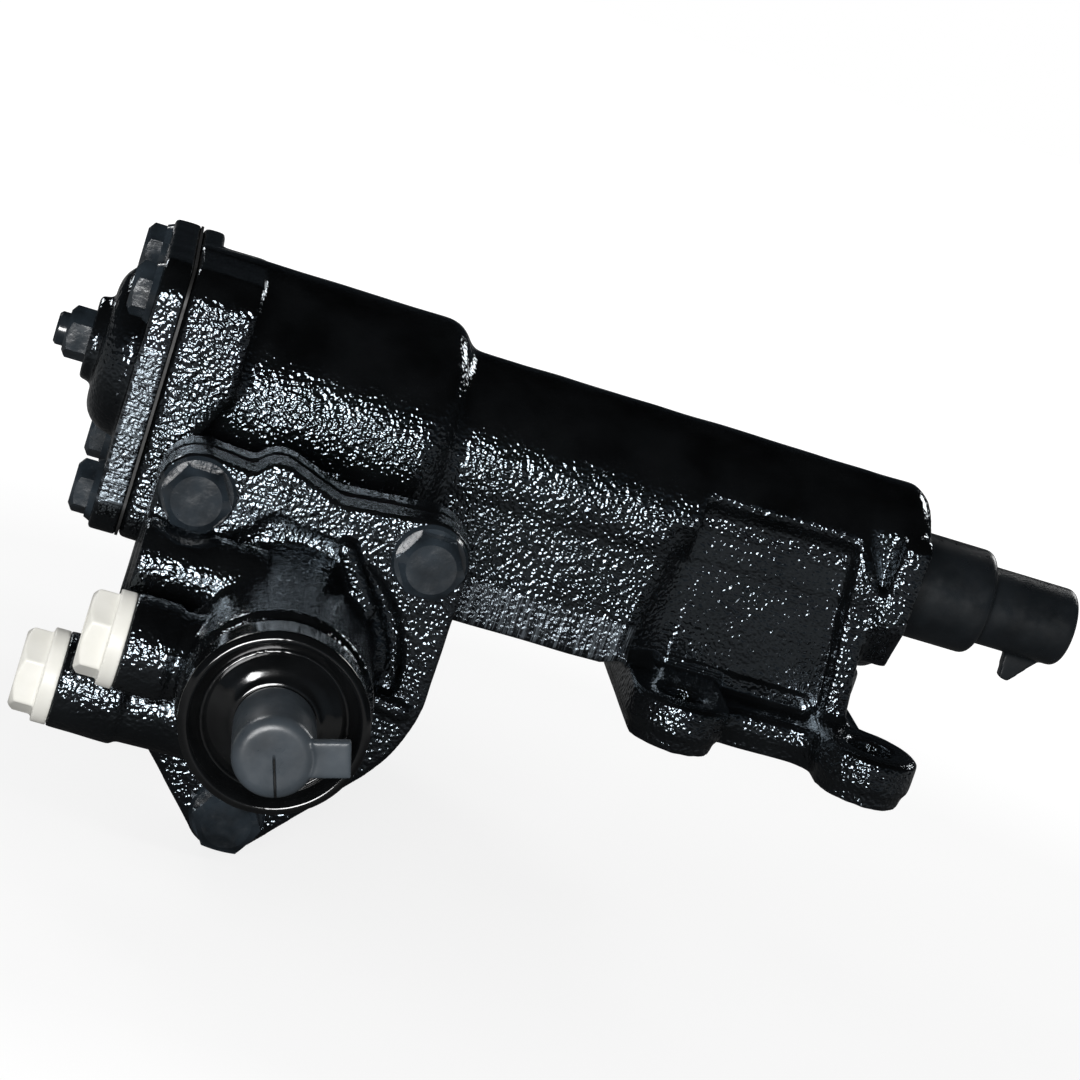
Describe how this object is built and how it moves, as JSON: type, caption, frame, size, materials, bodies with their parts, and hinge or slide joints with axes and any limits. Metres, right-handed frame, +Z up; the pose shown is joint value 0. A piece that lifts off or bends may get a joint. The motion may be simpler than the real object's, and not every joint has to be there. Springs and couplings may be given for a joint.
{
  "type": "power steering gearbox",
  "caption": "Black cast recirculating-ball power steering gearbox with a capped input shaft, plugged hose ports, a bolting foot and a capped splined output shaft.",
  "frame": {"origin": "centre of the four mounting holes, on the foot's mounting face", "axes": "+X along the sector shaft towards the output spline, +Y away from the input shaft, +Z up from the mounting face"},
  "size_m": [0.3211, 0.2501, 0.1521],
  "materials": {
    "cast_paint": "gloss black paint over a sand-cast skin",
    "fastener_paint": "satin black paint",
    "steel": "machined",
    "bearing_steel": "ground",
    "seal_rubber": "smooth",
    "seal_ptfe": "smooth",
    "cover_rubber": "glossy moulded rubber",
    "cap_vinyl": "satin moulded vinyl",
    "plug_plastic": "satin moulded plastic",
    "brass": "machined"
  },
  "bodies": {
    "housing": {"gear_housing": "cast_paint", "side_cover": "cast_paint", "side_cover_gasket": "seal_rubber", "side_cover_bolts": "fastener_paint", "adjusting_screw": "fastener_paint", "lock_nut": "fastener_paint", "cover_needle_bearing": "bearing_steel", "inner_needle_bearing": "bearing_steel", "outer_needle_bearing": "bearing_steel", "output_oil_seal": "seal_rubber", "output_seal_ring": "steel", "valve_housing": "cast_paint", "valve_housing_bolts": "fastener_paint", "valve_housing_o_ring": "seal_rubber", "passage_o_ring": "seal_rubber", "worm_bearing_outer_race": "bearing_steel", "worm_bearing_ring": "steel", "bearing_retainer_nut": "steel", "retainer_lock_ring": "steel", "input_needle_bearing": "bearing_steel", "input_oil_seal": "seal_rubber", "port_seats": "brass"},
    "worm": {"worm_shaft": "steel", "worm_bearing_inner_race": "bearing_steel", "worm_bearing_balls": "bearing_steel", "valve_sleeve": "steel", "valve_seal_rings": "seal_ptfe", "torsion_bar": "steel", "torsion_bar_worm_pin": "steel"},
    "input": {"input_shaft": "steel", "torsion_bar_input_pin": "steel", "dust_cover": "cover_rubber"},
    "input_cap": {"input_shaft_cap": "cap_vinyl"},
    "rack": {"rack_piston": "steel", "piston_seal_ring": "seal_ptfe", "piston_ring_expander": "seal_rubber", "recirculating_balls": "bearing_steel", "ball_return_guides": "steel", "guide_clamp": "steel", "clamp_screw": "steel"},
    "sector": {"sector_shaft": "steel", "adjuster_shim": "steel", "adjuster_retainer": "steel"},
    "output_cap": {"output_shaft_cap": "cap_vinyl"},
    "pressure_plug": {"pressure_port_plug": "plug_plastic"},
    "return_plug": {"return_port_plug": "plug_plastic"}
  },
  "joints": [
    {"name": "worm_turn", "type": "hinge", "parent": "housing", "child": "worm", "pos_m": [-0.149, 0, 0.0015], "axis": [0, -1, 0], "range_deg": [-617, 617]},
    {"name": "valve_twist", "type": "hinge", "parent": "worm", "child": "input", "pos_m": [-0.149, 0, 0.0015], "axis": [0, -1, 0], "range_deg": [-4, 4], "stiffness_Nm_per_rad": 60},
    {"name": "rack_slide", "type": "slide", "parent": "housing", "child": "rack", "axis": [0, 1, 0], "range_m": [-0.0172, 0.0172]},
    {"name": "sector_swing", "type": "hinge", "parent": "housing", "child": "sector", "pos_m": [-0.149, 0, 0.0565], "axis": [1, 0, 0], "range_deg": [-38, 38]},
    {"name": "input_cap_pull", "type": "slide", "parent": "input", "child": "input_cap", "axis": [0, -1, 0], "range_m": [0, 0.04]},
    {"name": "output_cap_pull", "type": "slide", "parent": "sector", "child": "output_cap", "axis": [1, 0, 0], "range_m": [0, 0.07]},
    {"name": "pressure_plug_pull", "type": "slide", "parent": "housing", "child": "pressure_plug", "axis": [-1, 0, 0], "range_m": [0, 0.025]},
    {"name": "return_plug_pull", "type": "slide", "parent": "housing", "child": "return_plug", "axis": [-1, 0, 0], "range_m": [0, 0.025]}
  ],
  "couplings": [
    {"joint": "rack_slide", "follows": "worm_turn", "m_per_rad": 0.0015915},
    {"joint": "sector_swing", "follows": "worm_turn", "ratio": 0.061569}
  ]
}
